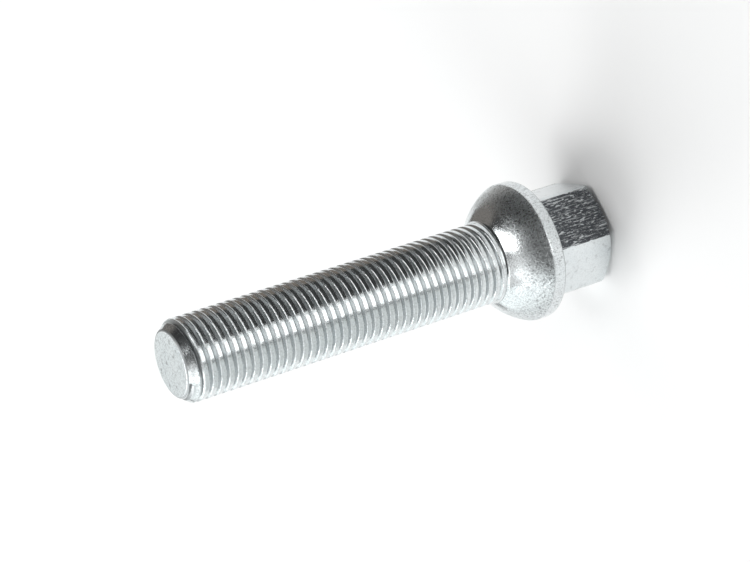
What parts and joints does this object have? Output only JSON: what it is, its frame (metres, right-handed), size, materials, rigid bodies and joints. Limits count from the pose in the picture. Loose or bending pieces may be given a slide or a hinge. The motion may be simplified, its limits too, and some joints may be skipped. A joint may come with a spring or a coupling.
{
  "type": "wheel bolt",
  "caption": "Wheel bolt: hexagon head, round collar with a ball seat, and a long fine-threaded shank with a chamfered tip, in bright zinc-plated steel.",
  "frame": {"origin": "centre of the flat end of the hexagon head, on which the bolt stands", "axes": "+Z along the bolt's axis, from the head towards the threaded tip; +X square to one flat of the hexagon"},
  "size_m": [0.0242, 0.0242, 0.0811],
  "materials": {
    "zinc_plated_steel": "bright zinc plate, slightly blue, satin"
  },
  "bodies": {
    "root": {"wheel_bolt": "zinc_plated_steel"}
  },
  "joints": []
}
